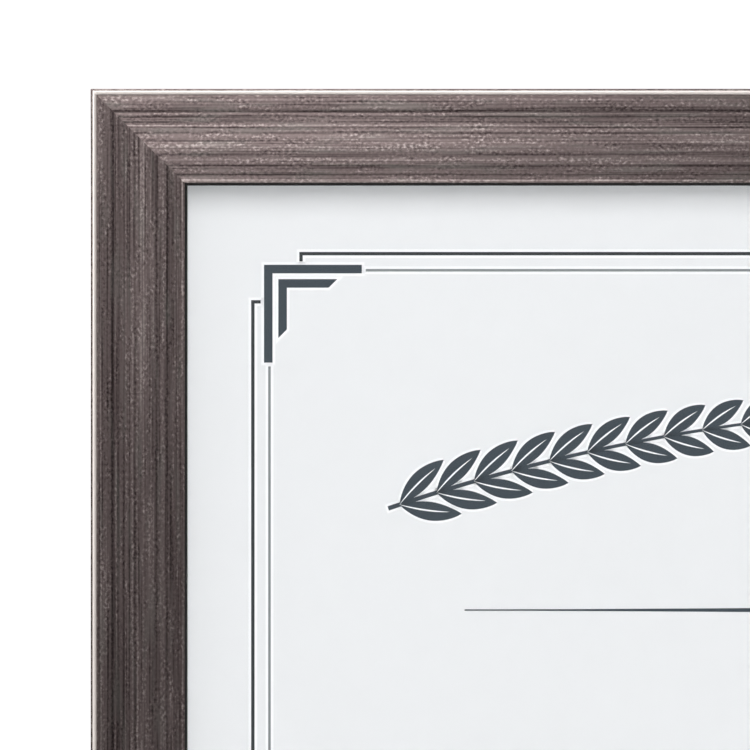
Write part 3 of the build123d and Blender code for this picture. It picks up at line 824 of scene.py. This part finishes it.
def sprayStrips(grow):
    # leaves and stems of both sprays, widened by grow for the white line round them
    return withMirrored(leafStrips(ornament["leaf"]["half"], 1, grow) + [stemStrip(grow)])


def ruleStrips():
    # a rule that swells from its ends to its middle as a cosine, and a lozenge on it
    rule, lozenge = ornament["rule"], ornament["lozenge"]
    share = np.linspace(-1, 1, rule["stations"])
    thin, thick = rule["halves"]
    swell = thin + (thick - thin) * (0.5 + 0.5 * np.cos(np.pi * share))
    corners = np.array((-1, 0, 1)) * lozenge["length"] / 2
    cornerHalves = np.array((lozenge["tip"], lozenge["height"] / 2, lozenge["tip"]))
    shapes = ((share * rule["reach"], swell), (corners, cornerHalves))
    return [[np.stack((x, rule["height"] + side * half), axis=1) for side in (1, -1)] for x, half in shapes]


veinStrips = withMirrored(leafStrips(ornament["vein"]["half"], ornament["vein"]["share"], 0))
writingStrips = [pathEdges(((start, height), (end, height)), ornament["writing"]["half"])
                 for height, start, end in ornament["writing"]["lines"]]
printPiece("ornament_slate_print", sprayStrips(0) + ruleStrips(), "slateInk", "ink")
printPiece("ornament_leaf_veins", veinStrips, "bareStock", "vein")
printPiece("ornament_white_keyline", sprayStrips(ornament["keyline"]), "bareStock", "keyline")
printPiece("writing_rules", writingStrips, "greyInk", "ink")
print("sheet and print made")

# CAD nodes that keep their shape, by finish; the rest of them are zinc-plated hardware
nodeFinish = {"glass_pane": "glass", "filler_board": "greyboard", "backing_board": "boardBack",
              "easel_leg": "boardLeg"}
for name, node in nodes.items():
    if node.hide_render:
        continue
    for materialSlot in node.material_slots:
        materialSlot.material = finishes[nodeFinish.get(name, "zinc")]
print("CAD nodes dressed")

# Floor: white, keeps the shadow near the frame and runs out to plain white
floor = {"drop": 0.5, "size": 16000.0, "colour": "#f4f4f4", "near": 180.0, "far": 330.0, "glow": (0.35, 1.0)}


def makeFloor():
    material, tree, output = newMaterial("white_studio_floor")
    place = addNode(tree, "ShaderNodeTexCoord").outputs["Object"]
    away = addNode(tree, "ShaderNodeVectorMath", {"operation": "LENGTH"}, {0: place})
    low, high = floor["glow"]
    glow = addNode(tree, "ShaderNodeMapRange",
                   {"From Min": floor["near"] * mm, "From Max": floor["far"] * mm,
                    "To Min": low, "To Max": high}, {"Value": away.outputs["Value"]})
    ray = addNode(tree, "ShaderNodeLightPath")
    seen = addNode(tree, "ShaderNodeMath", {"operation": "MAXIMUM"},
                   {0: ray.outputs["Is Camera Ray"], 1: ray.outputs["Is Glossy Ray"]})
    seen = addNode(tree, "ShaderNodeMath", {"operation": "MAXIMUM"},
                   {0: seen.outputs[0], 1: ray.outputs["Is Transmission Ray"]})
    strength = addNode(tree, "ShaderNodeMath", {"operation": "MULTIPLY"},
                       {0: glow.outputs[0], 1: seen.outputs[0]})
    matt = addNode(tree, "ShaderNodeBsdfDiffuse", {"Color": linear(floor["colour"])})
    light = addNode(tree, "ShaderNodeEmission", {"Color": (1, 1, 1, 1)}, {"Strength": strength.outputs[0]})
    both = addNode(tree, "ShaderNodeAddShader", links={0: matt.outputs[0], 1: light.outputs[0]})
    tree.links.new(both.outputs[0], output.inputs[0])
    half = floor["size"] / 2 * mm
    mesh = bpy.data.meshes.new("floor")
    corners = [(x * half, y * half, -floor["drop"] * mm) for x, y in ((-1, -1), (1, -1), (1, 1), (-1, 1))]
    mesh.from_pydata(corners, [], [(0, 1, 2, 3)])
    mesh.materials.append(material)
    plane = bpy.data.objects.new("floor", mesh)
    bpy.context.scene.collection.objects.link(plane)


makeFloor()

# World: white where it is seen; where it is mirrored, dim around and bright overhead; a low fill elsewhere
studio = {"ambient": 0.15, "mirrored": (0.50, 1.8), "band": (0.2, 0.8)}


def makeWorld():
    world = bpy.data.worlds.new("studio")
    world.use_nodes = True
    tree = world.node_tree
    tree.nodes.clear()
    ray = addNode(tree, "ShaderNodeLightPath")
    heading = addNode(tree, "ShaderNodeSeparateXYZ",
                      links={0: addNode(tree, "ShaderNodeTexCoord").outputs["Generated"]})
    mirrored = addNode(tree, "ShaderNodeMapRange",
                       {"From Min": studio["band"][0], "From Max": studio["band"][1],
                        "To Min": studio["mirrored"][0], "To Max": studio["mirrored"][1]},
                       {"Value": heading.outputs["Z"]})
    bounced = addNode(tree, "ShaderNodeMath", {"operation": "MAXIMUM"},
                      {0: ray.outputs["Is Glossy Ray"], 1: ray.outputs["Is Transmission Ray"]})
    unseen = addNode(tree, "ShaderNodeMix", {"data_type": "FLOAT", 2: studio["ambient"]},
                     {0: bounced.outputs[0], 3: mirrored.outputs[0]})
    strength = addNode(tree, "ShaderNodeMix", {"data_type": "FLOAT", 3: 1.0},
                       {0: ray.outputs["Is Camera Ray"], 2: unseen.outputs[0]})
    sky = addNode(tree, "ShaderNodeBackground", {"Color": (1, 1, 1, 1)}, {"Strength": strength.outputs[0]})
    addNode(tree, "ShaderNodeOutputWorld", links={"Surface": sky.outputs[0]})
    bpy.context.scene.world = world


makeWorld()

# Lamps, in face millimetres: a strip softbox over the corner, a glint that only shows in the metal foil,
# a low front fill that doesn't, and a soft light for the back
lamps = {
    "key": {"spot": (-125, 535, 530), "aim": (-125, 205, 5), "size": (90, 460), "watts": 2.12,
            "shows": "both"},
    "glint": {"spot": (-240, 285, 620), "aim": (-140, 180, 5), "size": (140, 140), "watts": 1.22,
              "shows": "gloss"},
    "fill": {"spot": (-40, -60, 560), "aim": (-80, 150, 5), "size": (170, 400), "watts": 2.27,
             "shows": "matt"},
    "back": {"spot": (250, 650, -900), "aim": (0, 110, 0), "size": (800, 800), "watts": 5.0,
             "shows": "matt"},
}
for name, lamp in lamps.items():
    light = bpy.data.lights.new(name, "AREA")
    light.shape = "RECTANGLE"
    light.size, light.size_y = (side * mm for side in lamp["size"])
    light.energy = lamp["watts"]
    holder = bpy.data.objects.new(name, light)
    spot, aim = (Vector(toScene(lamp[key])) for key in ("spot", "aim"))
    holder.location = spot
    holder.rotation_euler = (aim - spot).to_track_quat("-Z", "Y").to_euler()
    holder.visible_camera = False
    holder.visible_glossy = lamp["shows"] != "matt"
    holder.visible_diffuse = lamp["shows"] != "gloss"
    bpy.context.scene.collection.objects.link(holder)

# Camera: square to the face, over the top left corner, through a long lens; millimetres, but clip in metres
shot = {"middle": (-104.33, 192.03), "level": 9.7, "distance": 900.0, "width": 124.35, "sensor": 36.0,
        "clip": (0.05, 50.0)}
lens = bpy.data.cameras.new("camera")
lens.sensor_width = shot["sensor"]
lens.lens = shot["sensor"] * shot["distance"] / shot["width"]
lens.clip_start, lens.clip_end = shot["clip"]
camera = bpy.data.objects.new("camera", lens)
bpy.context.scene.collection.objects.link(camera)
squareOn = Matrix(faceAxes.tolist()).transposed().to_4x4()
standing = Vector(toScene((*shot["middle"], shot["level"] + shot["distance"])))
camera.matrix_world = Matrix.Translation(standing) @ squareOn
bpy.context.scene.camera = camera
bpy.context.scene.view_settings.view_transform = "Standard"
print("floor, lamps and camera set")
